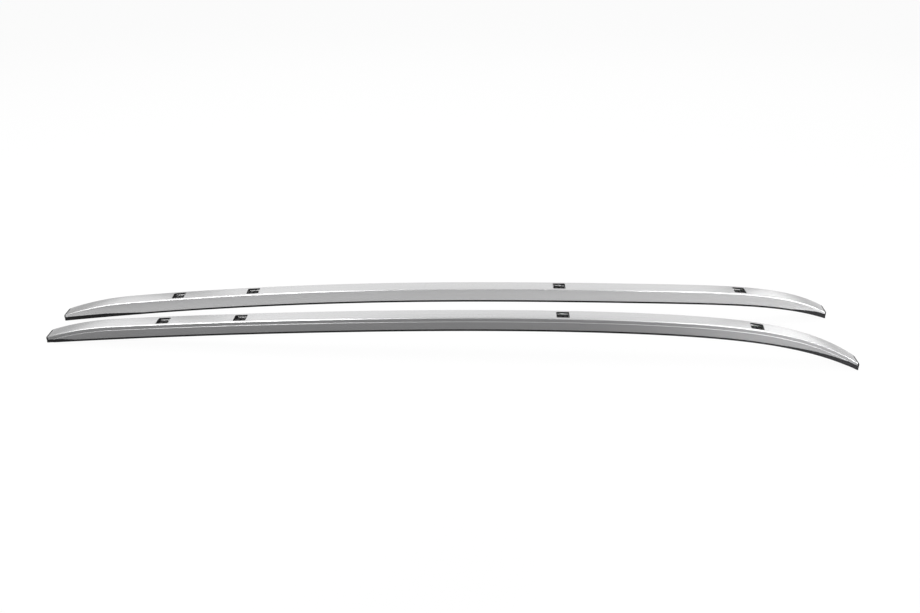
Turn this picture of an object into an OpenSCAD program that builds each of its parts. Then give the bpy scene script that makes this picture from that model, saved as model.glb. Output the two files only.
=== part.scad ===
// Pair of roof side rails for a car: two bent aluminium extrusions, mirror
// images of each other, each on a rubber gasket with a moulded pad at each tip
// and four bolt pockets in its top face.
// X runs from the rear tips to the front tips, Z is up, and the plane y = 0
// lies half way between the rails. The tips rest on z = 0.
// The left rail lies on the -Y side with its inner, banded side outwards, so
// the outer sides of the pair face each other.

/* [Bar] */
// Length of a rail from tip to tip
length = 1900; // [1750:10:2100]
// Width of the extrusion across the bar
bar_w = 42; // [40:1:50]
// Height of the extrusion where it isn't trimmed
bar_h = 30; // [27:1:36]
// Thickness of the side walls
wall_t = 2.4; // [1.8:0.1:3]
// Thickness of the top wall
top_t = 2.6; // [2:0.1:3.4]
// Thickness of the floor wall that carries the bolts
floor_t = 3; // [2.4:0.1:4]
// How far the side walls reach below the floor wall
lip_h = 3; // [2:0.1:4]
// Radius of the two long edges along the top face
edge_r = 2.5; // [1.5:0.1:2.8]
// Height of the band along the top of the inner side
band_h = 9; // [7:0.5:12]
// How far the band stands back from the inner side below it
band_step = 1; // [0.5:0.1:1.5]
// Height of the top face above the floor at the rear tip
rear_tip_h = 14; // [14:0.5:20]
// Height of the top face above the floor at the front tip
front_tip_h = 16.5; // [16.5:0.5:20]
// Corner radius of a tip on the outer side, seen from above
out_corner_r = 5; // [4:0.5:14]
// Corner radius of a tip on the inner side, seen from above
in_corner_r = 3; // [2:0.5:4]

/* [Bends] */
// Radius of the long arch that follows the roof
roof_r = 12000; // [10000:100:16000]
// Distance of the arch's crown from the rear tip
crown_s = 1220; // [1100:10:1300]
// Length over which the base bends down to the front tip
nose_len = 700; // [500:10:800]
// How sharply the base bends at the front
nose_pow = 6; // [4:0.1:7]
// Length over which the top bends down to the front tip
brow_len = 700; // [500:10:800]
// How sharply the top bends at the front
brow_pow = 6.4; // [5:0.1:8]
// Length over which the top bends down to the rear tip
tail_len = 165; // [120:5:260]
// How sharply the top bends at the rear
tail_pow = 2; // [1.5:0.1:3]

/* [Layout] */
// Distance from the outer sides to the plane between the rails, at the middle
mid_gap = 52; // [45:1:80]
// How much closer to that plane the rear tips are
rear_pull = 18.5; // [0:0.5:25]
// Length over which the rear ends come closer
rear_pull_len = 880; // [600:10:950]
// How much further from that plane the front tips are
front_flare = 50.5; // [30:0.5:70]
// Length over which the front ends spread
front_flare_len = 1100; // [700:10:1200]
// How sharply the front ends spread
front_flare_pow = 4.4; // [3:0.1:6]

/* [Gasket and pads] */
// Height of the gasket that shows under the bar
gasket_t = 4; // [3.4:0.1:6]
// How far the gasket stands back from the sides of the bar
gasket_inset = 0.8; // [0.4:0.1:1.6]
// Thickness of the rear pad at the tip, under the bar's inner side
rear_in_t = 8.5; // [7:0.5:10]
// Thickness of the rear pad at the tip, under the bar's outer side
rear_out_t = 10; // [8:0.5:10]
// Thickness of the front pad at the tip, under the bar's inner side
front_in_t = 11.5; // [9:0.5:12]
// Thickness of the front pad at the tip, under the bar's outer side
front_out_t = 12; // [9:0.5:12]
// Length of the rear pad
rear_pad_len = 205; // [180:5:240]
// Distance from the rear tip at which the pad's inner side has thinned out
rear_in_reach = 72; // [60:1:120]
// Length of the slope on the rear pad's inner side
rear_in_ramp = 36; // [20:1:60]
// Distance from the rear tip at which the pad's outer side has thinned out
rear_out_reach = 200; // [160:1:230]
// Length of the slope on the rear pad's outer side
rear_out_ramp = 95; // [40:1:150]
// Length of the front pad
front_pad_len = 180; // [160:5:200]
// Distance from the front tip at which the pad's inner side has thinned out
front_in_reach = 175; // [120:1:198]
// Length of the slope on the front pad's inner side
front_in_ramp = 150; // [60:1:160]
// Distance from the front tip at which the pad's outer side has thinned out
front_out_reach = 95; // [80:1:150]
// Length of the slope on the front pad's outer side
front_out_ramp = 70; // [40:1:75]
// Height of the flange along the foot of a pad
flange_t = 2.6; // [2:0.1:3]
// How far a pad's side stands back above its flange
flange_step = 0.8; // [0.4:0.1:1.2]
// Thickness of the wall that closes a tip
end_wall_t = 2.2; // [1.5:0.1:3]
// How far a pad's core reaches up into the bar
core_h = 8; // [4:0.5:10]

/* [Pockets] */
// Length of a pocket's opening along the bar
pocket_l = 30; // [26:1:36]
// Width of a pocket's opening across the bar
pocket_w = 28; // [24:1:30]
// Corner radius of a pocket's opening
pocket_r = 2.5; // [1.8:0.1:4]
// Distance of the rearmost pocket from the rear tip
rear_pocket = 287; // [270:1:320]
// Distance between the two rear pockets
rear_pocket_pitch = 186; // [150:1:240]
// Distance of the foremost pocket from the front tip
front_pocket = 228; // [220:1:260]
// Distance between the two front pockets
front_pocket_pitch = 444; // [380:1:460]
// Wall of the rim that lines an opening
rim_t = 1.5; // [1:0.1:2]
// Depth of the rim that lines an opening
rim_h = 3; // [2.8:0.1:5]
// Height of the seat that the bolt clamps to the floor wall
seat_h = 14; // [10:0.5:15]

/* [Bolt holes] */
// Bore of a sleeve, for the bolt
bolt_hole_d = 6.6; // [5.5:0.1:8.6]
// Wall of a sleeve
sleeve_t = 1.7; // [1.2:0.1:2.2]
// Diameter of a sleeve's flange
sleeve_flange_d = 17; // [15:0.5:20]
// Thickness of a sleeve's flange
sleeve_flange_t = 1.5; // [1:0.1:2.5]

/* [Hidden] */
// Clearance between pieces that slide together
fit_gap = 0.2;
// Gap where rubber or plastic rests on the bar
seat_gap = 0.1;
// Smallest step between the points of a trimmed wall
trim_step = 0.2;
// The floor wall ends where the trim leaves less than this of it
floor_rest = 1;
// Points along a tip's corner, along a pad and along the middle of a bar
corner_steps = 3;
pad_steps = 12;
mid_steps = 24;
// Angle between the points of a rounded edge
edge_a = 30;

total_h = bar_h + gasket_t;
pockets = [
    rear_pocket,
    rear_pocket + rear_pocket_pitch,
    length - front_pocket - front_pocket_pitch,
    length - front_pocket
];

// Lateral places across the bar: negative towards the inner side
in_face = -bar_w / 2;
out_face = bar_w / 2;
band_face = in_face + band_step;
in_void = band_face + wall_t;
out_void = out_face - wall_t;

// Levels below the top face
floor_top = -(bar_h - lip_h - floor_t);
floor_under = floor_top - floor_t;
void_r = 1;

// Part of a bend that is reached at distance s, from 1 at the tip to 0
function fade(s, len, p) = pow(max(0, 1 - s / len), p);

// Height of the roof's arch at distance s from the rear tip
arch_h = crown_s * crown_s / (2 * roof_r);
function arch(s) = arch_h - pow(s - crown_s, 2) / (2 * roof_r);
nose_drop = arch(length);

// Height of a rail's underside and of its top face
function base_z(s) = arch(s) - nose_drop * fade(length - s, nose_len, nose_pow);
function top_z(s) = arch(s) + total_h
    - (total_h - rear_tip_h) * fade(s, tail_len, tail_pow)
    - (nose_drop + total_h - front_tip_h) * fade(length - s, brow_len, brow_pow);

// Distance of the bar's centre line from the plane between the rails
function centre_y(s) = mid_gap + bar_w / 2
    - rear_pull * fade(s, rear_pull_len, 2)
    + front_flare * fade(length - s, front_flare_len, front_flare_pow);

// Share of the pad's extra thickness at distance s from its tip
function ramp(s, reach, run) = min(1, max(0, (reach - s) / run));

// Height under the bar at the inner side, at the outer side and between them
function under_in(s) = gasket_t
    + (rear_in_t - gasket_t) * ramp(s, rear_in_reach, rear_in_ramp)
    + (front_in_t - gasket_t) * ramp(length - s, front_in_reach, front_in_ramp);
function under_out(s) = gasket_t
    + (rear_out_t - gasket_t) * ramp(s, rear_out_reach, rear_out_ramp)
    + (front_out_t - gasket_t) * ramp(length - s, front_out_reach, front_out_ramp);
function under(s, t) = under_in(s) + (under_out(s) - under_in(s)) * (t - in_face) / bar_w;

// Level of the trimmed lower edge, measured from the top face
function trim(s, t) = base_z(s) + under(s, t) - top_z(s);

// How far a tip's rounded corner cuts in at distance d from the tip
function corner(d, r) = d >= r ? 0 : r - sqrt(r * r - (r - d) * (r - d));
function in_cut(s) = corner(min(s, length - s), in_corner_r);
function out_cut(s) = corner(min(s, length - s), out_corner_r);

// Distances along a rail: the tip's corner, the pad and the middle
bar_start = end_wall_t + seat_gap;
corner_s = [for (k = [0:corner_steps])
    bar_start + (out_corner_r - bar_start) * pow(k / corner_steps, 1.3)];
function pad_s(len) = [for (k = [1:pad_steps])
    out_corner_r + (len - out_corner_r) * pow(k / pad_steps, 1.3)];
function tip_s(len) = concat(corner_s, pad_s(len));
middle_s = [for (k = [1:mid_steps - 1])
    let (u = k / mid_steps)
        rear_pad_len + (length - front_pad_len - rear_pad_len) * (2 * u + 1 - cos(180 * u)) / 4];
function from_front(list) = [for (k = [len(list) - 1:-1:0]) length - list[k]];
bar_s = concat(tip_s(rear_pad_len), middle_s, from_front(tip_s(front_pad_len)));

// A point of the left rail: distance s, lateral place t, level z under the top
function at(s, t, z) = [s - length / 2, t - centre_y(s), top_z(s) + z];

// Level z, or the k-th step above the trim where the trim is higher
function above_trim(s, t, z, k) = max(z, trim(s, t) + k * trim_step);

// Lateral place of the inner side at level z: the band, its ledge or the side
function side_t(z) = max(in_face, min(band_face, in_face + (z + band_h + band_step)));

// Outer outline of the extrusion, from the inner side's foot to the outer's
function outer_line(s) = let (c = in_cut(s), d = out_cut(s)) concat(
    [for (p = [[trim(s, in_face), 0], [-band_h - band_step, 1], [-band_h, 2]])
        let (z = above_trim(s, in_face, p[0], p[1])) at(s, side_t(z) + c, z)],
    [for (a = [0:edge_a:90])
        at(s, band_face + c + edge_r * (1 - cos(a)), edge_r * (sin(a) - 1))],
    [for (a = [90:-edge_a:0])
        at(s, out_face - d - edge_r * (1 - cos(a)), edge_r * (sin(a) - 1))],
    [for (p = [[floor_top, 2], [floor_under, 1], [trim(s, out_face), 0]])
        at(s, out_face - d, above_trim(s, out_face, p[0], p[1]))]);

// Inner outline, point for point beside the outer one
function inner_line(s) = let (c = in_cut(s), d = out_cut(s)) concat(
    [for (p = [[trim(s, in_void), 0], [floor_under, 1], [floor_top, 2]])
        at(s, in_void + c, above_trim(s, in_void, p[0], p[1]))],
    [for (a = [0:edge_a:90])
        at(s, in_void + c + void_r * (1 - cos(a)), void_r * (sin(a) - 1) - top_t)],
    [for (a = [90:-edge_a:0])
        at(s, out_void - d - void_r * (1 - cos(a)), void_r * (sin(a) - 1) - top_t)],
    [for (p = [[floor_top, 2], [floor_under, 1], [trim(s, out_void), 0]])
        at(s, out_void - d, above_trim(s, out_void, p[0], p[1]))]);

// Whether the floor wall reaches distance s
function has_floor(s) = min(-trim(s, in_void), -trim(s, out_void)) + floor_top > floor_rest;

// Triangles for a convex face
function fan(p) = [for (j = [1:len(p) - 2]) [p[0], p[j], p[j + 1]]];
function quad(a, b, c, d) = fan([a, b, c, d]);
function flat(lists) = [for (l = lists) each l];

// Bent extrusion: both outlines at each distance, joined by strips. Between
// the floor wall's ends the inner strips give way to its top and underside.
module bent_bar() {
    line_n = len(outer_line(bar_s[0]));
    ring_n = 2 * line_n;
    last = len(bar_s) - 1;
    left_foot = 1;
    left_floor = 2;
    right_floor = line_n - 3;
    right_foot = line_n - 2;
    first_floor = min([for (k = [0:last]) has_floor(bar_s[k]) ? k : last]);
    last_floor = max([for (k = [0:last]) has_floor(bar_s[k]) ? k : 0]);
    function o(k, j) = k * ring_n + j;
    function i(k, j) = k * ring_n + line_n + j;
    function floored(k) = k >= first_floor && k < last_floor;
    strips = flat([for (k = [0:last - 1]) flat(concat(
        [for (j = [0:line_n - 2]) quad(o(k, j), o(k, j + 1), o(k + 1, j + 1), o(k + 1, j))],
        [for (j = [0:line_n - 2])
            if (!(floored(k) && (j == left_foot || j == right_floor)))
                quad(i(k, j + 1), i(k, j), i(k + 1, j), i(k + 1, j + 1))],
        [quad(i(k, 0), o(k, 0), o(k + 1, 0), i(k + 1, 0))],
        [quad(o(k, line_n - 1), i(k, line_n - 1), i(k + 1, line_n - 1), o(k + 1, line_n - 1))],
        floored(k) ? [
            quad(i(k, left_floor), i(k + 1, left_floor), i(k + 1, right_floor), i(k, right_floor)),
            quad(i(k, right_foot), i(k + 1, right_foot), i(k + 1, left_foot), i(k, left_foot))
        ] : []))]);
    ends = flat([for (j = [0:line_n - 2]) concat(
        quad(o(0, j + 1), o(0, j), i(0, j), i(0, j + 1)),
        quad(o(last, j), o(last, j + 1), i(last, j + 1), i(last, j)))]);
    floor_ends = concat(
        quad(i(first_floor, left_foot), i(first_floor, left_floor),
            i(first_floor, right_floor), i(first_floor, right_foot)),
        quad(i(last_floor, left_floor), i(last_floor, left_foot),
            i(last_floor, right_foot), i(last_floor, right_floor)));
    polyhedron(
        points = flat([for (s = bar_s) concat(outer_line(s), inner_line(s))]),
        faces = concat(strips, ends, floor_ends));
}

// Solid through closed outlines, with the convex faces of both its ends
module solid_through(lines, first_end, last_end) {
    n = len(lines[0]);
    last = len(lines) - 1;
    function p(k, j) = k * n + j % n;
    polyhedron(
        points = flat(lines),
        faces = flat(concat(
            [for (k = [0:last - 1], j = [0:n - 1])
                quad(p(k, j), p(k, j + 1), p(k + 1, j + 1), p(k + 1, j))],
            [for (f = first_end) fan([for (j = [len(f) - 1:-1:0]) p(0, f[j])])],
            [for (f = last_end) fan([for (j = f) p(last, j)])])));
}

// Placement at a pocket: origin on the top face, X along the bar, Z outwards
function pitch(s) = atan((top_z(s + 1) - top_z(s - 1)) / 2);
function yaw(s) = -atan((centre_y(s + 1) - centre_y(s - 1)) / 2);
module at_pocket(k) {
    s = pockets[k];
    translate(at(s, 0, 0)) rotate([0, -pitch(s), yaw(s)]) children();
}

// Levels under a pocket, square to the top face: the floor wall and the roof
function floor_level(k) = floor_top * cos(pitch(pockets[k]));
function roof_level(k) = let (s = pockets[k]) (base_z(s) - top_z(s)) * cos(pitch(s));
sleeve_r = bolt_hole_d / 2 + sleeve_t;

module rounded_rect(l, w, r) {
    square([l - 2 * r, w], center = true);
    square([l, w - 2 * r], center = true);
    for (x = [-1, 1], y = [-1, 1])
        translate([x * (l / 2 - r), y * (w / 2 - r)]) circle(r = r, $fn = 48);
}

// Extruded bar with its pocket openings and the sleeves' holes in its floor
module bar() {
    color("silver") difference() {
        bent_bar();
        for (k = [0:len(pockets) - 1]) at_pocket(k) {
            translate([0, 0, -2 * top_t]) linear_extrude(3 * top_t)
                rounded_rect(pocket_l, pocket_w, pocket_r);
            translate([0, 0, floor_level(k) - 2 * floor_t])
                cylinder(r = sleeve_r + fit_gap, h = 3 * floor_t, $fn = 64);
        }
    }
}

// Gasket: a flat strip under the side walls with a rib between them
function gasket_line(s) = let (
    foot = base_z(s) - top_z(s),
    t0 = in_face + gasket_inset,
    t1 = out_face - gasket_inset,
    r0 = in_void + fit_gap,
    r1 = out_void - fit_gap
) [
    at(s, t0, foot),
    at(s, t0, trim(s, t0) - seat_gap),
    at(s, r0, trim(s, r0) - seat_gap),
    at(s, r0, above_trim(s, r0, floor_under, 1) - seat_gap),
    at(s, r1, above_trim(s, r1, floor_under, 1) - seat_gap),
    at(s, r1, trim(s, r1) - seat_gap),
    at(s, t1, trim(s, t1) - seat_gap),
    at(s, t1, foot)
];
// Convex faces of an end, as places in its outline
gasket_end = [[0, 1, 2], [0, 2, 5, 7], [5, 6, 7], [2, 3, 4, 5]];
module gasket() {
    color([0.08, 0.08, 0.08]) difference() {
        solid_through([for (s = bar_s)
            if (s >= rear_pad_len && s <= length - front_pad_len) gasket_line(s)],
            gasket_end, gasket_end);
        for (k = [0:len(pockets) - 1]) at_pocket(k)
            translate([0, 0, floor_level(k) - total_h])
                cylinder(r = sleeve_r + fit_gap, h = total_h, $fn = 64);
    }
}

// Wall that closes a tip: the bar's outline down to the roof
function end_line(s) = let (
    c = in_cut(s),
    d = out_cut(s),
    foot = base_z(s) - top_z(s)
) concat(
    [for (p = [[0, 0], [0, flange_t], [flange_step, flange_t + flange_step / 2]])
        at(s, band_face + c + p[0], foot + p[1])],
    [for (a = [0:edge_a:90])
        at(s, band_face + c + edge_r * (1 - cos(a)), edge_r * (sin(a) - 1) - fit_gap)],
    [for (a = [90:-edge_a:0])
        at(s, out_face - d - edge_r * (1 - cos(a)), edge_r * (sin(a) - 1) - fit_gap)],
    [for (p = [[flange_step, flange_t + flange_step / 2], [0, flange_t], [0, 0]])
        at(s, out_face - d - p[0], foot + p[1])]);

// Top of a pad's core: below the floor wall, or inside the bar where it ends
function core_top(s, t) = has_floor(s)
    ? above_trim(s, t, floor_under, 1) - seat_gap
    : max(trim(s, t) + trim_step - seat_gap, min(-top_t - void_r - seat_gap, trim(s, t) + core_h));

// Pad under the bar: flange, side, ledge under the wall, and core
function pad_line(s) = let (
    foot = base_z(s) - top_z(s),
    t0 = side_t(trim(s, in_face)) + in_cut(s),
    t1 = out_face - out_cut(s),
    r0 = in_void + in_cut(s) + fit_gap,
    r1 = out_void - out_cut(s) - fit_gap,
    l0 = trim(s, r0) - seat_gap,
    l1 = trim(s, r1) - seat_gap
) [
    at(s, t0, foot),
    at(s, t0, foot + flange_t),
    at(s, t0 + flange_step, foot + flange_t + flange_step / 2),
    at(s, t0 + flange_step, trim(s, t0 + flange_step) - seat_gap),
    at(s, r0, l0),
    at(s, r0, (l0 + core_top(s, r0)) / 2),
    at(s, r0, core_top(s, r0)),
    at(s, r1, core_top(s, r1)),
    at(s, r1, (l1 + core_top(s, r1)) / 2),
    at(s, r1, l1),
    at(s, t1 - flange_step, trim(s, t1 - flange_step) - seat_gap),
    at(s, t1 - flange_step, foot + flange_t + flange_step / 2),
    at(s, t1, foot + flange_t),
    at(s, t1, foot)
];
wall_end = [for (j = [0:5]) [j, j + 1, 12 - j, 13 - j]];
pad_end = [
    [0, 1, 12, 13], [1, 2, 11, 12], [2, 3, 4], [2, 4, 9, 11], [9, 10, 11],
    [4, 5, 8, 9], [5, 6, 7, 8]
];
module rear_pad() {
    color([0.1, 0.1, 0.1]) solid_through(concat(
        [for (s = [0, end_wall_t / 4, end_wall_t]) end_line(s)],
        [for (s = tip_s(rear_pad_len)) pad_line(s)]), wall_end, pad_end);
}
module front_pad() {
    color([0.1, 0.1, 0.1]) solid_through(concat(
        [for (s = from_front(tip_s(front_pad_len))) pad_line(s)],
        [for (s = [end_wall_t, end_wall_t / 4, 0]) end_line(length - s)]), pad_end, wall_end);
}

// Rim that lines a pocket's opening
rim_l = pocket_l - fit_gap;
rim_w = pocket_w - fit_gap;
module rim(k) {
    color([0.07, 0.07, 0.07]) at_pocket(k) translate([0, 0, -rim_h - fit_gap])
        linear_extrude(rim_h) difference() {
            rounded_rect(rim_l, rim_w, pocket_r);
            rounded_rect(rim_l - 2 * rim_t, rim_w - 2 * rim_t, pocket_r - rim_t / 2);
        }
}

// Seat on the floor wall, small enough to pass the opening before its rim
module seat(k) {
    color([0.06, 0.06, 0.06]) at_pocket(k) translate([0, 0, floor_level(k) + seat_gap])
        linear_extrude(seat_h) difference() {
            rounded_rect(rim_l - 2 * rim_t, rim_w - 2 * rim_t, pocket_r);
            circle(r = sleeve_r + fit_gap, $fn = 64);
        }
}

// Flanged sleeve that carries the bolt's load down to the roof
module sleeve(k) {
    seat_top = floor_level(k) + seat_gap + seat_h;
    foot = roof_level(k) + fit_gap;
    color("lightgray") at_pocket(k) difference() {
        union() {
            translate([0, 0, seat_top]) cylinder(d = sleeve_flange_d, h = sleeve_flange_t, $fn = 64);
            translate([0, 0, foot])
                cylinder(r = sleeve_r, h = seat_top + sleeve_flange_t / 2 - foot, $fn = 64);
        }
        translate([0, 0, foot - bar_h]) cylinder(d = bolt_hole_d, h = 3 * bar_h, $fn = 64);
    }
}

bar();  // left_bar
gasket();  // left_gasket
rear_pad();  // left_rear_pad
front_pad();  // left_front_pad
mirror([0, 1, 0]) bar();  // right_bar
mirror([0, 1, 0]) gasket();  // right_gasket
mirror([0, 1, 0]) rear_pad();  // right_rear_pad
mirror([0, 1, 0]) front_pad();  // right_front_pad
for (k = [0:len(pockets) - 1]) {
    rim(k);
    seat(k);
    sleeve(k);
    mirror([0, 1, 0]) rim(k);
    mirror([0, 1, 0]) seat(k);
    mirror([0, 1, 0]) sleeve(k);
}
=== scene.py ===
import bmesh
import bpy
import numpy as np
from math import radians
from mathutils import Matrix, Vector


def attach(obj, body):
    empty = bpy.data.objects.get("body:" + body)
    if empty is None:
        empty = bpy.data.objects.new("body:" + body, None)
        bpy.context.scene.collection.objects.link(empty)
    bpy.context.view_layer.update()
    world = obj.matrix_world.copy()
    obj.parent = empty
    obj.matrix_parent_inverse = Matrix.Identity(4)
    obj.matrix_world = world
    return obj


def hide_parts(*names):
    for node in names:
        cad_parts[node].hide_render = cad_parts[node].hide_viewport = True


# Pair of roof side rails: bent aluminium bars on rubber, with four pockets each.
# The shapes and the camera's place are in millimetres, the looks and the studio in metres.
# s is the distance from the rear tip, and t runs across a rail from its inner to its outer side.

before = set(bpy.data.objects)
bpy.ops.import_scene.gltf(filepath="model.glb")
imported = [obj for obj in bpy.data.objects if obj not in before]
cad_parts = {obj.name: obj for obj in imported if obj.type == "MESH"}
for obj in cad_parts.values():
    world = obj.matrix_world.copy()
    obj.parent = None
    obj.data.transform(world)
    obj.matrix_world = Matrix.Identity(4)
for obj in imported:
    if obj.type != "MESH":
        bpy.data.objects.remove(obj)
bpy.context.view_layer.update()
mm = 0.001

camera = {
    "place": (99.7, -2031.0, 1157.6),
    "pitchDown": 28.06,
    "turn": 1.753,
    "focalPixels": 960.0,
    "imageWidth": 920.0,
    "sensor": 36.0,
    "clipEnd": 100.0,
}


def addCamera():
    data = bpy.data.cameras.new("railCamera")
    data.sensor_fit = "HORIZONTAL"
    data.sensor_width = camera["sensor"]
    data.lens = camera["sensor"] * camera["focalPixels"] / camera["imageWidth"]
    data.clip_end = camera["clipEnd"]
    eye = bpy.data.objects.new("railCamera", data)
    eye.location = [c * mm for c in camera["place"]]
    eye.rotation_euler = (radians(90.0 - camera["pitchDown"]), 0.0, radians(camera["turn"]))
    bpy.context.scene.collection.objects.link(eye)
    bpy.context.scene.camera = eye


addCamera()
print("camera set")


# Shader maths: a Wire is a socket that can be added, multiplied and so on

class Wire:
    def __init__(self, tree, socket):
        self.tree = tree
        self.socket = socket

    def math(self, operation, other=None, swap=False):
        values = [self] if other is None else [self, other]
        if swap:
            values.reverse()
        return makeNode(self.tree, "ShaderNodeMath", {"operation": operation}, dict(enumerate(values)))

    def __add__(self, other):
        return self.math("ADD", other)

    def __sub__(self, other):
        return self.math("SUBTRACT", other)

    def __rsub__(self, other):
        return self.math("SUBTRACT", other, True)

    def __mul__(self, other):
        return self.math("MULTIPLY", other)

    __radd__ = __add__
    __rmul__ = __mul__

    def clipped(self):
        wire = self.math("ADD", 0.0)
        wire.socket.node.use_clamp = True
        return wire


def makeNode(tree, kind, settings=None, inputs=None, output=0):
    node = tree.nodes.new(kind)
    for key, value in (settings or {}).items():
        setattr(node, key, value)
    for key, value in (inputs or {}).items():
        if isinstance(value, Wire):
            tree.links.new(value.socket, node.inputs[key])
        else:
            node.inputs[key].default_value = value
    return Wire(tree, node.outputs[output] if len(node.outputs) else None)


def newMaterial(name):
    material = bpy.data.materials.new(name)
    material.use_nodes = True
    tree = material.node_tree
    tree.nodes.clear()
    return material, tree


def closeMaterial(tree, shader):
    makeNode(tree, "ShaderNodeOutputMaterial", None, {"Surface": shader})


def objectCoords(tree):
    return makeNode(tree, "ShaderNodeTexCoord", None, None, 3)  # its Object output


def noise(tree, coords, scale, detail=3.0, roughness=0.5):
    return makeNode(tree, "ShaderNodeTexNoise", None,
                    {"Vector": coords, "Scale": scale, "Detail": detail, "Roughness": roughness})


def stretched(tree, coords, scale):
    return makeNode(tree, "ShaderNodeMapping", None, {"Vector": coords, "Scale": scale})


def mixColours(tree, mask, first, second):
    # Sockets 6 and 7 and output 2 are the node's colour ones
    return makeNode(tree, "ShaderNodeMix", {"data_type": "RGBA"},
                    {"Factor": mask, 6: first, 7: second}, 2)


def makeBump(tree, relief, height):
    return makeNode(tree, "ShaderNodeBump", None,
                    {"Strength": relief["strength"], "Distance": relief["depth"], "Height": height})


def closeBlack(tree, look, colour, roughness, height):
    # The end that the black finishes share: little shine, and a fine relief
    shader = makeNode(tree, "ShaderNodeBsdfPrincipled", None,
                      {"Base Color": colour, "Roughness": roughness,
                       "Specular IOR Level": look["shine"],
                       "Normal": makeBump(tree, look["bump"], height)})
    closeMaterial(tree, shader)


# The top and both sides are one anodised metal: the outer side's slightly darker colour and the inner
# side's far darker one are painted shade
aluminiumLook = {
    "top": {"colour": (0.44, 0.44, 0.443, 1.0), "pale": (0.5, 0.5, 0.503, 1.0),
            "metallic": 0.9, "roughness": 0.28},
    "plain": {"colour": (0.38, 0.38, 0.383, 1.0), "pale": (0.43, 0.43, 0.433, 1.0),
              "metallic": 0.68, "roughness": 0.34},
    "banded": {"colour": (0.118, 0.118, 0.12, 1.0), "pale": (0.16, 0.16, 0.162, 1.0),
               "metallic": 0.4, "roughness": 0.36},
    # The bar's inside: a near white that is partly the bare metal's own paleness and partly painted
    # light, for the light streak in the pockets
    "rawWithPaintedLight": {"colour": (0.92, 0.92, 0.92, 1.0), "pale": (0.96, 0.96, 0.96, 1.0),
            "metallic": 0.1, "roughness": 0.5},
    "streakScale": (1.6, 900.0, 1.0),
    "broadScale": (3.0, 60.0, 1.0),
    "grainScale": 2600.0,
    "tone": {"streaks": 0.5, "broad": 0.35, "grain": 0.15},
    "dulling": {"streaks": 0.05, "grain": 0.03, "mean": 0.04},
    "bump": {"strength": 0.35, "depth": 0.00002, "grain": 0.6},
}


def makeAluminium():
    # Streaks run along the extrusion on the bar's own UV map, with a fine grain over them.
    # On the second map, x is 1 on the inner side with the band and -1 on the outer side, and y is 1
    # inside:
    # the sides' darker colours are painted shade, and the inside's near white is partly painted light
    look = aluminiumLook
    material, tree = newMaterial("anodisedAluminium")
    uv = makeNode(tree, "ShaderNodeUVMap", {"uv_map": "rail"})
    place = objectCoords(tree)
    finishAndShade = makeNode(tree, "ShaderNodeUVMap", {"uv_map": "finishAndShade"})
    side = makeNode(tree, "ShaderNodeSeparateXYZ", None, {"Vector": finishAndShade}, 0)
    rawWithPaintedLight = makeNode(tree, "ShaderNodeSeparateXYZ", None, {"Vector": finishAndShade}, 1)
    streaks = noise(tree, stretched(tree, uv, look["streakScale"]), 1.0, 4.0, 0.6)
    broad = noise(tree, stretched(tree, uv, look["broadScale"]), 1.0, 2.0)
    grain = noise(tree, place, look["grainScale"], 2.0)
    share = look["tone"]
    tone = streaks * share["streaks"] + broad * share["broad"] + grain * share["grain"]
    top = look["top"]
    colour = mixColours(tree, tone, top["colour"], top["pale"])
    metallic = top["metallic"]
    dulling = look["dulling"]
    rough = (top["roughness"] - dulling["mean"] + streaks * dulling["streaks"]
             + grain * dulling["grain"])
    # Each side's colour over the top's colour: painted shade on the outer side and, much darker, on the
    # inner side with the band
    for mask, name in (((side * -1.0).clipped(), "plain"), (side.clipped(), "banded"), (rawWithPaintedLight, "rawWithPaintedLight")):
        own = look[name]
        colour = mixColours(tree, mask, colour, mixColours(tree, tone, own["colour"], own["pale"]))
        metallic = metallic + mask * (own["metallic"] - top["metallic"])
        rough = rough + mask * (own["roughness"] - top["roughness"])
    bump = makeBump(tree, look["bump"], streaks + grain * look["bump"]["grain"])
    shader = makeNode(tree, "ShaderNodeBsdfPrincipled", None,
                      {"Base Color": colour, "Metallic": metallic, "Roughness": rough, "Normal": bump})
    closeMaterial(tree, shader)
    return material


rubberLook = {
    "colour": (0.006, 0.006, 0.0065, 1.0),
    "dusty": (0.018, 0.018, 0.0185, 1.0),
    "roughness": 0.62,
    "shine": 0.12,
    "cloudScale": (18.0, 60.0, 110.0),
    "dust": {"start": 0.52, "gain": 4.0, "tint": 0.5, "dulling": 0.15},
    "grainScale": 900.0,
    "bump": {"strength": 0.5, "depth": 0.00006},
}


def makeRubber():
    look = rubberLook
    material, tree = newMaterial("blackRubber")
    place = objectCoords(tree)
    cloud = noise(tree, stretched(tree, place, look["cloudScale"]), 1.0, 4.0, 0.6)
    grain = noise(tree, place, look["grainScale"])
    film = look["dust"]
    dust = ((cloud - film["start"]) * film["gain"]).clipped()
    colour = mixColours(tree, dust * film["tint"], look["colour"], look["dusty"])
    closeBlack(tree, look, colour, look["roughness"] + dust * film["dulling"], grain + cloud)
    return material


plasticLook = {
    "colour": (0.004, 0.004, 0.0045, 1.0),
    "worn": (0.012, 0.012, 0.0125, 1.0),
    "roughness": 0.5,
    "shine": 0.15,
    "grainScale": 1800.0,
    "cloudScale": 160.0,
    "cloudDulling": 0.1,
    "bump": {"strength": 0.4, "depth": 0.00003},
}


def makePlastic():
    look = plasticLook
    material, tree = newMaterial("blackPlastic")
    place = objectCoords(tree)
    grain = noise(tree, place, look["grainScale"])
    cloud = noise(tree, place, look["cloudScale"], 2.0)
    colour = mixColours(tree, cloud, look["colour"], look["worn"])
    closeBlack(tree, look, colour, look["roughness"] + cloud * look["cloudDulling"], grain)
    return material


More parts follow.
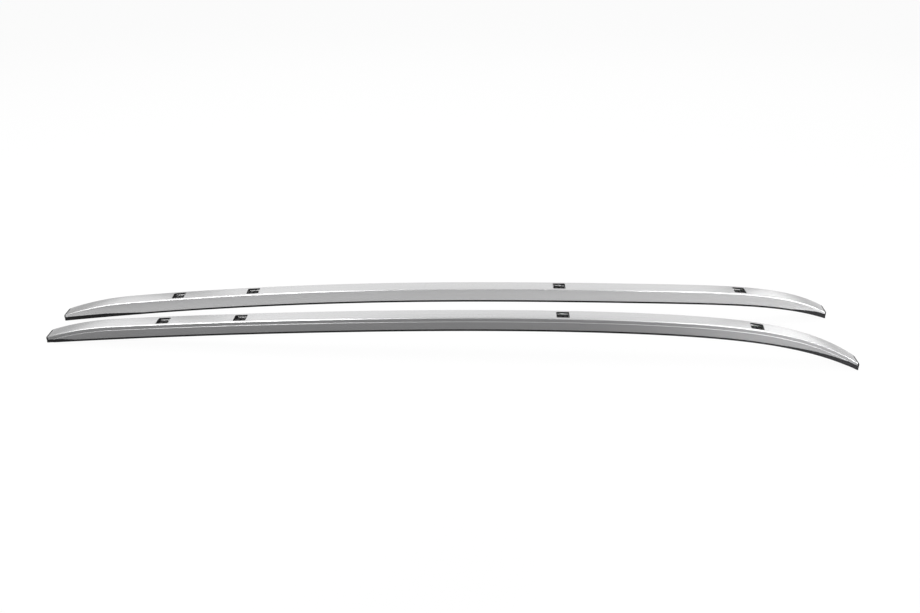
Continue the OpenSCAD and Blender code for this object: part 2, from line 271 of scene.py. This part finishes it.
steelLook = {
    "colour": (0.006, 0.006, 0.0065, 1.0),
    "worn": (0.018, 0.018, 0.0185, 1.0),
    "roughness": 0.5,
    "shine": 0.2,
    "grainScale": 700.0,
    "grainDulling": 0.12,
    "wear": {"start": 0.5, "gain": 3.0},
    "bump": {"strength": 0.4, "depth": 0.00002},
}


def makeSteel():
    look = steelLook
    material, tree = newMaterial("blackCoatedSteel")
    place = objectCoords(tree)
    grain = noise(tree, place, look["grainScale"])
    wear = ((grain - look["wear"]["start"]) * look["wear"]["gain"]).clipped()
    colour = mixColours(tree, wear, look["colour"], look["worn"])
    closeBlack(tree, look, colour, look["roughness"] + grain * look["grainDulling"], grain)
    return material


# Each slot's material, and the angle in degrees above which an edge stays sharp
finishes = {
    "aluminium": (makeAluminium(), 30.0),
    "rubber": (makeRubber(), 40.0),
    "plastic": (makePlastic(), 30.0),
    "steel": (makeSteel(), 30.0),
}
print("materials made")

rail = {
    "length": 1900.0,
    "barWidth": 42.0,
    "barHeight": 29.2,
    "archRadius": 12000.0,
    "crown": 1220.0,  # from the rear tip to the highest point
    "noseReach": 700.0,  # foot line at the front
    "nosePower": 6.0,
    "browReach": 700.0,  # top line at the front
    "browPower": 6.4,
    "tailReach": 165.0,  # top line at the rear
    "tailPower": 2.0,
    "rearTipHeight": 14.0,
    "frontTipHeight": 16.5,
    "gasket": 4.8,
    "midGap": 52.0,  # half the space between the rails in the middle
    "rearPull": 18.5,
    "rearPullReach": 880.0,
    "rearPullPower": 2.0,
    "frontFlare": 50.5,
    "frontFlareReach": 1100.0,
    "frontFlarePower": 4.4,
    "outerCorner": 5.0,
    "innerCorner": 3.0,
}
totalHeight = rail["barHeight"] + rail["gasket"]
innerFace = -rail["barWidth"] / 2
outerFace = rail["barWidth"] / 2


def fade(distance, reach, power):
    # (1 - distance / reach) to a power: 1 at the tip, 0 beyond the reach
    return np.maximum(0.0, 1.0 - distance / reach) ** power


def arch(s):
    # Circle of the roof's radius through the crown, as a parabola that is 0 at the rear tip
    return (rail["crown"] ** 2 - (s - rail["crown"]) ** 2) / (2 * rail["archRadius"])


noseDrop = arch(rail["length"])


def baseHeight(s):
    # The arch less a drop that grows towards the front tip
    return arch(s) - noseDrop * fade(rail["length"] - s, rail["noseReach"], rail["nosePower"])


def topHeight(s):
    # The arch and the full height, less a drop towards each tip
    tail = (totalHeight - rail["rearTipHeight"]) * fade(s, rail["tailReach"], rail["tailPower"])
    brow = (noseDrop + totalHeight - rail["frontTipHeight"]) * fade(
        rail["length"] - s, rail["browReach"], rail["browPower"])
    return arch(s) + totalHeight - tail - brow


def centreLine(s):
    # Distance from the plane between the rails: closer at the rear, spread at the front
    pull = rail["rearPull"] * fade(s, rail["rearPullReach"], rail["rearPullPower"])
    flare = rail["frontFlare"] * fade(
        rail["length"] - s, rail["frontFlareReach"], rail["frontFlarePower"])
    return rail["midGap"] + rail["barWidth"] / 2 - pull + flare


padShape = {
    "rearInnerHeight": 8.5,
    "rearOuterHeight": 10.0,
    "frontInnerHeight": 11.5,
    "frontOuterHeight": 12.0,
    "rearLength": 205.0,
    "rearInner": (72.0, 36.0),  # from the tip to the slope's end, and its length
    "rearOuter": (200.0, 95.0),
    "frontLength": 180.0,
    "frontInner": (175.0, 150.0),
    "frontOuter": (95.0, 70.0),
    "flange": 2.6,
    "flangeStep": 0.8,
    "endWall": 4.6,
    "barGap": 0.1,  # between the end wall and the bar
    "core": 8.0,
    "coreDrop": 0.1,
    "edge": 0.4,
    "cornerSteps": 4,
    "topBevel": 0.3,
    "rimPlaces": (0.0, 0.08, 0.22, 0.45, 0.8, 1.5),  # rounding of the end wall's outer rim
    "rimInsets": (0.4, 0.2, 0.08, 0.0, 0.0, 0.0),
}


def ramp(s, reachAndRun):
    reach, run = reachAndRun
    return np.clip((reach - s) / run, 0.0, 1.0)


def underBar(s, t):
    # Thickness of rubber under the bar: thick at the tips, thinning along a slope on each side
    shape = padShape
    fromFront = rail["length"] - s
    inner = ((shape["rearInnerHeight"] - rail["gasket"]) * ramp(s, shape["rearInner"])
             + (shape["frontInnerHeight"] - rail["gasket"]) * ramp(fromFront, shape["frontInner"]))
    outer = ((shape["rearOuterHeight"] - rail["gasket"]) * ramp(s, shape["rearOuter"])
             + (shape["frontOuterHeight"] - rail["gasket"]) * ramp(fromFront, shape["frontOuter"]))
    return rail["gasket"] + inner + (outer - inner) * (t - innerFace) / rail["barWidth"]


def trimLevel(s, t):
    return baseHeight(s) + underBar(s, t) - topHeight(s)


def cornerCut(s, radius):
    # A quarter circle in plan at each tip
    d = np.minimum(np.minimum(s, rail["length"] - s), radius)
    return radius - np.sqrt(radius ** 2 - (radius - d) ** 2)


def innerCut(s):
    return cornerCut(s, rail["innerCorner"])


def outerCut(s):
    return cornerCut(s, rail["outerCorner"])


def roundCorners(corners, radii, steps):
    # Each corner of a closed outline becomes a quadratic curve that starts and ends the
    # corner's radius away along its two sides, or at 0.46 of a side that is shorter
    before = np.roll(corners, 1, axis=1) - corners
    after = np.roll(corners, -1, axis=1) - corners
    longBefore = np.linalg.norm(before, axis=2, keepdims=True) + 1e-9
    longAfter = np.linalg.norm(after, axis=2, keepdims=True) + 1e-9
    reach = np.asarray(radii, float)[None, :, None]
    most = 0.46
    start = corners + before / longBefore * np.minimum(reach, most * longBefore)
    end = corners + after / longAfter * np.minimum(reach, most * longAfter)
    u = np.linspace(0.0, 1.0, steps)[None, None, :, None]
    curve = ((1 - u) ** 2 * start[:, :, None] + 2 * u * (1 - u) * corners[:, :, None]
             + u ** 2 * end[:, :, None])
    return curve.reshape(len(corners), -1, 2)


def outline(s, places):
    # Stacks pairs of lateral place and level into one closed outline for each station
    columns = [np.stack([t + 0.0 * s, z + 0.0 * s], axis=1) for t, z in places]
    return np.stack(columns, axis=1)


def alongRail(s, outlines, side):
    # Sets each outline upright at its station; side is 1 for the left rail and -1 for the right
    x = np.repeat((s - rail["length"] / 2)[:, None], outlines.shape[1], axis=1)
    y = side * (outlines[:, :, 0] - centreLine(s)[:, None])
    z = outlines[:, :, 1] + topHeight(s)[:, None]
    return np.stack([x, y, z], axis=2) * mm


def tubeMesh(name, points, flip, joined=False, marks=None):
    # Closed outlines joined one to the next, then capped, or joined round to the first. The first
    # UV map is the way along and the way round, in metres, and the second holds two marks for
    # each point of the outline
    count, around = points.shape[:2]
    marks = np.zeros((around, 2)) if marks is None else marks
    row = np.arange(count if joined else count - 1)[:, None]
    column = np.arange(around)[None, :]
    nextRow = (row + 1) % count
    nextColumn = (column + 1) % around
    quads = np.stack([row * around + column, row * around + nextColumn,
                      nextRow * around + nextColumn, nextRow * around + column], axis=2).reshape(-1, 4)
    ringed = np.concatenate([points, points[:, :1]], axis=1)
    way = np.linalg.norm(np.diff(ringed, axis=1), axis=2)
    v = np.concatenate([np.zeros((count, 1)), np.cumsum(way, axis=1)], axis=1)
    step = np.linalg.norm(np.diff(points.mean(axis=1), axis=0), axis=1)
    wide = around + 1
    u = np.concatenate([[0.0], np.cumsum(step)])
    u = np.repeat(u[:, None], wide, axis=1)
    corner = np.stack([row * wide + column, row * wide + column + 1,
                       nextRow * wide + column + 1, nextRow * wide + column], axis=2).reshape(-1, 4)
    if flip:
        quads = quads[:, ::-1]
        corner = corner[:, ::-1]
    uv = np.stack([u.ravel(), v.ravel()], axis=1)[corner.ravel()]
    finishAndShade = marks[corner.ravel() % wide % around]
    faces = quads.tolist()
    if not joined:
        first = np.arange(around)[::-1]
        last = np.arange(around) + (count - 1) * around
        if flip:
            first = first[::-1]
            last = last[::-1]
        faces += [first.tolist(), last.tolist()]
        uv = np.concatenate([uv, np.zeros((2 * around, 2))])
        finishAndShade = np.concatenate([finishAndShade, np.zeros((2 * around, 2))])
    mesh = bpy.data.meshes.new(name)
    mesh.from_pydata(points.reshape(-1, 3).tolist(), [], faces)
    for layerName, values in (("rail", uv), ("finishAndShade", finishAndShade)):
        layer = mesh.uv_layers.new(name=layerName)
        layer.data.foreach_set("uv", values.astype(np.float32).ravel())
    mesh.validate()
    return mesh


def addPiece(name, meshes, node, slotName):
    # One object from several meshes, in its slot's finish, riding on the part's one body
    material, angle = finishes[slotName]
    mesh = joinMeshes(meshes)
    mesh.name = name
    mesh.materials.clear()
    mesh.materials.append(material)
    mesh.shade_smooth()
    mesh.set_sharp_from_angle(angle=radians(angle))
    piece = bpy.data.objects.new(name, mesh)
    bpy.context.scene.collection.objects.link(piece)
    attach(piece, "root")
    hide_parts(node)


def cutAway(mesh, cutters):
    # The mesh less the cutters' solids
    body = bpy.data.objects.new("cutBody", mesh)
    tool = bpy.data.objects.new("cutTool", joinMeshes(cutters))
    for thing in (body, tool):
        bpy.context.scene.collection.objects.link(thing)
    cut = body.modifiers.new("cut", "BOOLEAN")
    cut.operation = "DIFFERENCE"
    cut.solver = "EXACT"
    cut.object = tool
    result = bpy.data.meshes.new_from_object(body.evaluated_get(bpy.context.evaluated_depsgraph_get()))
    for thing in (body, tool):
        bpy.data.objects.remove(thing)
    return result


def joinMeshes(meshes):
    joined = bmesh.new()
    for part in meshes:
        joined.from_mesh(part)
    mesh = bpy.data.meshes.new("joined")
    joined.to_mesh(mesh)
    joined.free()
    return mesh


stationCounts = {
    "corner": 12,
    "cornerPower": 1.4,
    "pad": 70,
    "padPower": 1.2,
    "middle": 240,
}


def stationsBetween(start, end, count, power=1.0):
    # A power above 1 sets them closer together at the start
    return start + (end - start) * np.linspace(0.0, 1.0, count) ** power


def tipStations(first, length):
    # Round the tip's corner, then along the pad to its end
    counts = stationCounts
    corner = stationsBetween(first, rail["outerCorner"], counts["corner"], counts["cornerPower"])
    pad = stationsBetween(rail["outerCorner"], length, counts["pad"], counts["padPower"])
    return np.concatenate([corner[:-1], pad])


def railStations(first):
    rear = tipStations(first, padShape["rearLength"])
    front = rail["length"] - tipStations(first, padShape["frontLength"])[::-1]
    middle = stationsBetween(rear[-1], front[0], stationCounts["middle"])
    return np.concatenate([rear[:-1], middle, front[1:]])


pocketShape = {
    "stations": (287.0, 473.0, 1228.0, 1672.0),
    "length": 30.0,
    "width": 28.0,
    "corner": 2.5,
    "wall": 1.5,
    "rim": 3.0,
    "lip": 0.4,
    "seat": 17.5,  # height of the block on the floor wall
    "gap": 0.1,
    "ease": 0.3,
}


def slopeAt(line, s):
    # Rise over the millimetre to each side
    return (line(s + 1.0) - line(s - 1.0)) / 2


def pocketAxes(s, side):
    # Origin on the top face, and the directions along the bar, across it and out of it
    pitch = np.arctan(slopeAt(topHeight, s))
    yaw = -np.arctan(slopeAt(centreLine, s))
    along = np.array([np.cos(pitch) * np.cos(yaw), np.cos(pitch) * np.sin(yaw), np.sin(pitch)])
    across = np.array([-np.sin(yaw), np.cos(yaw), 0.0])
    out = np.array([-np.sin(pitch) * np.cos(yaw), -np.sin(pitch) * np.sin(yaw), np.cos(pitch)])
    origin = np.array([s - rail["length"] / 2, -centreLine(s), topHeight(s)])
    mirror = np.array([1.0, side, 1.0])
    return origin * mirror, along * mirror, across * mirror, out * mirror


def atPocket(local, s, side):
    # Points in a pocket's own directions, moved to the rail, in metres
    origin, along, across, out = pocketAxes(s, side)
    return (origin + local[..., :1] * along + local[..., 1:2] * across + local[..., 2:3] * out) * mm


loopPoints = 96


def roundedRectangle(length, width, radius):
    # Corner arcs joined by straight runs, with as many points on every loop
    quarter = loopPoints // 4
    angle = np.linspace(0.0, np.pi / 2, quarter)
    loops = []
    for k, (sx, sy) in enumerate(((1, 1), (-1, 1), (-1, -1), (1, -1))):
        turn = angle + k * np.pi / 2
        loops.append(np.stack([sx * (length / 2 - radius) + radius * np.cos(turn),
                               sy * (width / 2 - radius) + radius * np.sin(turn)], axis=1))
    return np.concatenate(loops)


def circleLoop(radius, count=loopPoints):
    quarter = count // 4
    turn = np.concatenate([np.linspace(0.0, np.pi / 2, quarter, endpoint=False) + k * np.pi / 2
                           for k in range(4)])
    return np.stack([radius * np.cos(turn), radius * np.sin(turn)], axis=1)


def loft(loopsAndLevels):
    # Flat loops set one above the other at their levels
    return np.stack([np.concatenate([loop, np.full((len(loop), 1), float(level))], axis=1)
                     for loop, level in loopsAndLevels])


barShape = {
    "wall": 2.4,
    "top": 2.6,
    "floor": 3.0,
    "lip": 2.2,
    "edge": 2.5,
    "voidEdge": 1.0,
    "band": 9.0,  # height of the set-back band on the inner side
    "bandStep": 1.0,
    "ledgeEdge": 0.4,
    "footEdge": 0.35,
    "voidFoot": 0.1,
    "floorRest": 1.0,
    "floorBite": 0.5,  # how far the floor wall runs into the sides
    "cornerSteps": 9,
}
bandFace = innerFace + barShape["bandStep"]
innerVoid = bandFace + barShape["wall"]
outerVoid = outerFace - barShape["wall"]
floorTop = -(rail["barHeight"] - barShape["lip"] - barShape["floor"])
floorUnder = floorTop - barShape["floor"]


def sideFace(level):
    # Lateral place of the inner side: the band, the ledge under it, or the side below
    return np.clip(innerFace + level + barShape["band"] + barShape["bandStep"], innerFace, bandFace)


def aboveTrim(s, t, level, steps):
    # A level that the trim has passed stays a few small steps above it, so no lines cross
    stepUp = 0.2
    return np.maximum(level, trimLevel(s, t) + stepUp * steps)


def hasFloor(s):
    # True where enough of the floor wall is left above the trim
    highest = np.maximum(trimLevel(s, innerVoid), trimLevel(s, outerVoid))
    return floorTop - highest > barShape["floorRest"]


# Finish and shade marks round the bar, at numbers of the corners in makeBar's list of places: sides is
# 1 on the inner side with the band (painted shade), 0.35 on its ledge (a paler painted highlight), -1
# on the outer side, and raw is 1 inside
barMarks = {
    "sideCorners": (0.9, 1.0, 2.4, 2.6, 3.3, 3.5, 4.1, 4.35, 5.3, 5.9, 6.9, 7.0),
    "sides": (0.0, 1.0, 1.0, 0.35, 0.35, 1.0, 1.0, 0.0, 0.0, -1.0, -1.0, 0.0),
    # The inside's near white is partly bare metal and partly painted light
    "rawWithPaintedLightCorners": (0.4, 0.6, 7.3, 7.5),
    "rawWithPaintedLight": (1.0, 0.0, 0.0, 1.0),
}


def makeBar(side):
    # Inverted U with rounded corners, its foot cut along the trim level
    shape = barShape
    s = railStations(padShape["endWall"] + padShape["barGap"])
    c = innerCut(s)
    d = outerCut(s)
    ledgeLow = aboveTrim(s, innerFace, -shape["band"] - shape["bandStep"], 1)
    ledgeHigh = aboveTrim(s, innerFace, -shape["band"], 2)
    foot = trimLevel(s, innerFace)
    places = [
        (innerVoid + c, trimLevel(s, innerVoid)),
        (sideFace(foot) + c, foot),
        (sideFace(ledgeLow) + c, ledgeLow),
        (sideFace(ledgeHigh) + c, ledgeHigh),
        (bandFace + c, 0.0),
        (outerFace - d, 0.0),
        (outerFace - d, trimLevel(s, outerFace)),
        (outerVoid - d, trimLevel(s, outerVoid)),
        (outerVoid - d, -shape["top"]),
        (innerVoid + c, -shape["top"]),
    ]
    radii = [shape[edge] for edge in ("voidFoot", "footEdge", "ledgeEdge", "ledgeEdge", "edge",
                                      "edge", "footEdge", "voidFoot", "voidEdge", "voidEdge")]
    loops = roundCorners(outline(s, places), radii, shape["cornerSteps"])
    corner = np.arange(loops.shape[1]) / shape["cornerSteps"]
    # The sides mark paints shade on the inner side with the band, and leaves its ledge paler as a
    # painted highlight
    sides = np.interp(corner, barMarks["sideCorners"], barMarks["sides"])
    rawWithPaintedLight = np.interp(corner, barMarks["rawWithPaintedLightCorners"], barMarks["rawWithPaintedLight"])
    marks = np.stack([sides, rawWithPaintedLight], axis=1)
    shell = tubeMesh("barShell", alongRail(s, loops, side), side > 0, marks=marks)
    opening = roundedRectangle(pocketShape["length"], pocketShape["width"], pocketShape["corner"])
    cutters = []
    for station in pocketShape["stations"]:
        local = loft([(opening, -2 * shape["top"]), (opening, shape["top"])])
        cutters.append(tubeMesh("opening", atPocket(local, station, side), side < 0))
    shell = cutAway(shell, cutters)
    s = s[hasFloor(s)]
    left = innerVoid - shape["floorBite"]
    right = outerVoid + shape["floorBite"]
    places = [(left, aboveTrim(s, innerVoid, floorUnder, 1)),
              (left, aboveTrim(s, innerVoid, floorTop, 2)),
              (right, aboveTrim(s, outerVoid, floorTop, 2)),
              (right, aboveTrim(s, outerVoid, floorUnder, 1))]
    # The floor wall lies inside and takes the inside's near white, which is partly painted light
    floorWall = tubeMesh("barFloor", alongRail(s, outline(s, places), side), side > 0,
                         marks=np.array([[0.0, 1.0]] * 4))
    return [shell, floorWall]


gasketShape = {"inset": 0.1, "gap": 0.2, "edge": 0.5, "cornerSteps": 5, "seatGap": 0.05}


def makeGasket(side):
    # Flat strip under the side walls with a rib between the lips
    shape = gasketShape
    s = railStations(padShape["endWall"])
    s = s[(s >= padShape["rearLength"]) & (s <= rail["length"] - padShape["frontLength"])]
    left = innerFace + shape["inset"]
    right = outerFace - shape["inset"]
    ribLeft = innerVoid + shape["gap"]
    ribRight = outerVoid - shape["gap"]
    foot = baseHeight(s) - topHeight(s)
    seat = shape["seatGap"]
    places = [
        (left, foot),
        (left, trimLevel(s, left) - seat),
        (ribLeft, trimLevel(s, ribLeft) - seat),
        (ribLeft, aboveTrim(s, ribLeft, floorUnder, 1) - seat),
        (ribRight, aboveTrim(s, ribRight, floorUnder, 1) - seat),
        (ribRight, trimLevel(s, ribRight) - seat),
        (right, trimLevel(s, right) - seat),
        (right, foot),
    ]
    loops = roundCorners(outline(s, places), [shape["edge"]] * len(places), shape["cornerSteps"])
    return [tubeMesh("gasketStrip", alongRail(s, loops, side), side > 0)]


def coreTop(s, t):
    # Below the floor wall, or inside the bar where that wall has ended
    low = trimLevel(s, t)
    ceiling = -barShape["top"] - barShape["voidEdge"] - padShape["coreDrop"]
    free = np.minimum(ceiling, low + padShape["core"])
    return np.where(hasFloor(s), aboveTrim(s, t, floorUnder, 1) - gasketShape["seatGap"], free)


def padOutline(s):
    # Flange along the foot, a side set back above it, and the core between the bar's walls
    shape = padShape
    foot = baseHeight(s) - topHeight(s)
    left = sideFace(trimLevel(s, innerFace)) + innerCut(s)
    right = outerFace - outerCut(s)
    coreLeft = innerVoid + innerCut(s) + gasketShape["gap"]
    coreRight = outerVoid - outerCut(s) - gasketShape["gap"]
    step = shape["flangeStep"]
    shoulder = foot + shape["flange"]
    seat = gasketShape["seatGap"]
    places = [
        (left, foot),
        (left, shoulder),
        (left + step, shoulder + step / 2),
        (left + step, trimLevel(s, left + step) - seat),
        (coreLeft, trimLevel(s, coreLeft) - seat),
        (coreLeft, coreTop(s, coreLeft)),
        (coreRight, coreTop(s, coreRight)),
        (coreRight, trimLevel(s, coreRight) - seat),
        (right - step, trimLevel(s, right - step) - seat),
        (right - step, shoulder + step / 2),
        (right, shoulder),
        (right, foot),
    ]
    return outline(s, places)


def wallOutline(s, inset):
    # The bar's outline at the tip carried down to the foot, drawn in all round by the inset
    shape = padShape
    edge = barShape["edge"]
    foot = baseHeight(s) - topHeight(s) + inset
    left = bandFace + innerCut(s) + inset
    right = outerFace - outerCut(s) - inset
    top = -gasketShape["gap"] - inset
    step = shape["flangeStep"]
    shoulder = foot + shape["flange"]
    bevel = edge * shape["topBevel"]
    places = [
        (left, foot),
        (left, shoulder),
        (left + step, shoulder + step / 2),
        (left, top - edge),
        (left + bevel, top - bevel),
        (left + edge, top),
        (right - edge, top),
        (right - bevel, top - bevel),
        (right, top - edge),
        (right - step, shoulder + step / 2),
        (right, shoulder),
        (right, foot),
    ]
    return outline(s, places)


def makePad(end, side):
    # The end wall's rounded rim and back, then the sole and core along the bar
    shape = padShape
    wall = np.array(shape["rimPlaces"] + (shape["endWall"],))
    inset = np.array(shape["rimInsets"] + (0.0,))
    length = shape["rearLength"] if end == "rear" else shape["frontLength"]
    s = tipStations(shape["endWall"] + shape["barGap"], length)
    if end == "front":
        wall = rail["length"] - wall
        s = rail["length"] - s
    corners = np.concatenate([wallOutline(wall, inset), padOutline(s)])
    s = np.concatenate([wall, s])
    if end == "front":
        corners = corners[::-1]
        s = s[::-1]
    loops = roundCorners(corners, [shape["edge"]] * corners.shape[1], shape["cornerSteps"])
    return [tubeMesh("pad", alongRail(s, loops, side), side > 0)]


# The bore and the flange are radii
sleeveShape = {
    "bore": 3.3,
    "wall": 1.7,
    "flange": 8.5,
    "flangeHeight": 1.5,
    "flangeLift": 0.02,
    "edge": 0.3,
    "points": 64,
}


def pocketLevels(station):
    # Levels of the floor wall, of the seat's top and of the roof, square to the top face
    pitch = np.arctan(slopeAt(topHeight, station))
    floorLevel = floorTop * np.cos(pitch) + pocketShape["gap"]
    roofLevel = (baseHeight(station) - topHeight(station)) * np.cos(pitch)
    return floorLevel, floorLevel + pocketShape["seat"], roofLevel + gasketShape["gap"]


def pocketLoop(inset, radius):
    # Outline of a fitting, drawn in from the pocket's opening on every side
    return roundedRectangle(pocketShape["length"] - 2 * inset, pocketShape["width"] - 2 * inset, radius)


def makeShadeRim(station, side):
    # Up the outside, over the thin lip and down the inside, which narrows towards the foot
    shape = pocketShape
    gap = shape["gap"]
    ease = shape["ease"]
    inside = gap + shape["wall"]
    top = -gasketShape["gap"]
    foot = top - shape["rim"]
    radius = shape["corner"]
    innerRadius = radius - shape["wall"] / 2
    # The rim's black along the opening's edge is painted shade: it stands for the opening's cut edge
    # lying in shadow
    local = loft([(pocketLoop(gap, radius), foot),
                  (pocketLoop(gap, radius), top - ease / 2),
                  (pocketLoop(gap + ease / 2, radius), top),
                  (pocketLoop(gap + shape["lip"], radius), top),
                  (pocketLoop(inside - ease, innerRadius), foot + 3 * ease),
                  (pocketLoop(inside, innerRadius), foot + ease),
                  (pocketLoop(inside, innerRadius), foot)])
    return [tubeMesh("rim", atPocket(local, station, side), side < 0, joined=True)]


def makeSeat(station, side):
    # From the sleeve's hole out along the floor wall, up the side and back over the top
    shape = pocketShape
    foot, seatTop = pocketLevels(station)[:2]
    ease = shape["ease"]
    inside = shape["gap"] + shape["wall"]
    hole = circleLoop(sleeveShape["bore"] + sleeveShape["wall"] + gasketShape["gap"])
    local = loft([(hole, foot),
                  (pocketLoop(inside, shape["corner"]), foot),
                  (pocketLoop(inside, shape["corner"]), seatTop - ease),
                  (pocketLoop(inside + ease, shape["corner"] - ease), seatTop),
                  (hole, seatTop)])
    return [tubeMesh("seat", atPocket(local, station, side), side < 0, joined=True)]


def makeSleeve(station, side):
    # A profile turned about the bolt's axis: bore, flange with eased edges, and tube
    shape = sleeveShape
    seatTop, roof = pocketLevels(station)[1:]
    bore = shape["bore"]
    tube = bore + shape["wall"]
    flange = shape["flange"]
    edge = shape["edge"]
    top = seatTop + shape["flangeHeight"]
    under = seatTop + shape["flangeLift"]
    profile = [
        (bore + edge, roof),
        (bore, roof + edge),
        (bore, top - edge),
        (bore + edge, top),
        (flange - edge, top),
        (flange, top - edge),
        (flange, under),
        (tube, under),
        (tube, roof + edge),
        (tube - edge, roof),
    ]
    local = loft([(circleLoop(radius, shape["points"]), level) for radius, level in profile])
    return [tubeMesh("sleeve", atPocket(local, station, side), side > 0, joined=True)]


for sideName, side in (("left", 1), ("right", -1)):
    addPiece(sideName + "BarSkin", makeBar(side), sideName + "_bar", "aluminium")
    addPiece(sideName + "GasketStrip", makeGasket(side), sideName + "_gasket", "rubber")
    addPiece(sideName + "RearPadMoulding", makePad("rear", side), sideName + "_rear_pad", "rubber")
    addPiece(sideName + "FrontPadMoulding", makePad("front", side), sideName + "_front_pad", "rubber")
    for k, station in enumerate(pocketShape["stations"]):
        number = str(k + 1)
        # Each rim's black is painted shade along its pocket's opening
        addPiece(sideName + "PocketShadeRim" + number, makeShadeRim(station, side),
                 sideName + "_rim_" + number, "plastic")
        addPiece(sideName + "PocketSeat" + number, makeSeat(station, side),
                 sideName + "_seat_" + number, "plastic")
        addPiece(sideName + "Sleeve" + number, makeSleeve(station, side),
                 sideName + "_sleeve_" + number, "steel")
    print(sideName, "rail made")

studio = {
    "floorSize": 60.0,
    "floorColour": (0.6, 0.6, 0.6, 1.0),
    "whiteShare": 0.955,
    "skyColour": (0.2, 0.2, 0.2, 1.0),
    "bandHeight": 0.03,
    "bandFade": 10.0,
    "lamps": {
        "back": {"place": (0.0, 2.6, 1.35), "size": (3.2, 1.3), "power": 16.0},
        "backLeft": {"place": (-2.4, 2.0, 1.5), "size": (1.8, 1.3), "power": 10.0},
        "backRight": {"place": (2.4, 2.0, 1.3), "size": (1.8, 1.3), "power": 14.0},
        "edgeLeft": {"place": (-1.2, 0.9, 2.3), "size": (1.4, 0.8), "power": 46.0},
        "edgeRight": {"place": (1.4, 0.9, 2.3), "size": (1.1, 0.8), "power": 36.0},
        "topFront": {"place": (0.0, -1.3, 2.2), "size": (3.6, 0.8), "power": 9.0},
        "overhead": {"place": (0.1, -0.1, 2.4), "size": (2.6, 1.0), "power": 9.0},
        "overLeft": {"place": (-2.3, -0.1, 2.1), "aim": (-0.8, 0.0, 0.0), "size": (1.8, 1.0),
                     "power": 42.0},
        "frontLeft": {"place": (-1.3, -2.2, 1.4), "aim": (-0.6, 0.0, 0.0), "size": (1.2, 0.9),
                      "power": 6.0, "spread": 60.0},
        "frontRight": {"place": (1.5, -2.2, 1.4), "aim": (0.75, 0.0, 0.05), "size": (0.8, 0.6),
                       "power": 1.5, "spread": 36.0},
        "nearRight": {"place": (1.9, -1.1, 0.4), "aim": (0.85, 0.0, 0.0), "size": (0.7, 0.4),
                      "power": 28.0},
        "frontTip": {"place": (-0.2, -1.9, 0.12), "aim": (0.88, -0.12, 0.03), "size": (0.3, 0.16),
                     "power": 1.45, "spread": 22.0},
        "right": {"place": (3.0, -0.2, 0.9), "size": (1.6, 1.4), "power": 24.0},
    },
}


def seenWhite(tree):
    # 1 for rays from the camera and for those that a glossy or clear surface sends on
    path = makeNode(tree, "ShaderNodeLightPath")
    rays = [Wire(tree, path.socket.node.outputs[name])
            for name in ("Is Camera Ray", "Is Glossy Ray", "Is Transmission Ray")]
    return (rays[0] + rays[1] + rays[2]).clipped()


def makeFloor():
    half = studio["floorSize"] / 2
    mesh = bpy.data.meshes.new("studioFloor")
    corners = [(-half, -half, 0), (half, -half, 0), (half, half, 0), (-half, half, 0)]
    mesh.from_pydata(corners, [], [(0, 1, 2, 3)])
    material, tree = newMaterial("paleFloor")
    matt = makeNode(tree, "ShaderNodeBsdfDiffuse", None, {"Color": studio["floorColour"]})
    white = makeNode(tree, "ShaderNodeEmission", None, {"Color": (1.0, 1.0, 1.0, 1.0), "Strength": 1.0})
    closeMaterial(tree, makeNode(tree, "ShaderNodeMixShader", None,
                                 {0: seenWhite(tree) * studio["whiteShare"], 1: matt, 2: white}))
    mesh.materials.append(material)
    floor = bpy.data.objects.new("studioFloor", mesh)
    bpy.context.scene.collection.objects.link(floor)


def makeWorld():
    # Grey, with a white band along the horizon that blends with the floor
    world = bpy.data.worlds.new("studioWorld")
    world.use_nodes = True
    tree = world.node_tree
    tree.nodes.clear()
    direction = makeNode(tree, "ShaderNodeTexCoord", None, None, 0)
    height = makeNode(tree, "ShaderNodeSeparateXYZ", None, {"Vector": direction}, 2)
    band = (1.0 - (height - studio["bandHeight"]) * studio["bandFade"]).clipped()
    soft = makeNode(tree, "ShaderNodeBackground", None, {"Color": studio["skyColour"]})
    white = makeNode(tree, "ShaderNodeBackground", None, {"Color": (1.0, 1.0, 1.0, 1.0)})
    mixed = makeNode(tree, "ShaderNodeMixShader", None, {0: seenWhite(tree) * band, 1: soft, 2: white})
    makeNode(tree, "ShaderNodeOutputWorld", None, {"Surface": mixed})
    bpy.context.scene.world = world


def addLamps():
    # Soft boxes, aimed at the origin unless told otherwise; the spread is the beam's full angle
    for name, lamp in studio["lamps"].items():
        data = bpy.data.lights.new(name, "AREA")
        data.shape = "RECTANGLE"
        data.size, data.size_y = lamp["size"]
        data.energy = lamp["power"]
        data.spread = radians(lamp.get("spread", 180.0))
        box = bpy.data.objects.new(name, data)
        box.location = lamp["place"]
        aim = Vector(lamp.get("aim", (0.0, 0.0, 0.0))) - Vector(lamp["place"])
        box.rotation_euler = aim.to_track_quat("-Z", "Y").to_euler()
        bpy.context.scene.collection.objects.link(box)


makeFloor()
makeWorld()
addLamps()
bpy.context.scene.view_settings.view_transform = "Standard"
print("studio lit")
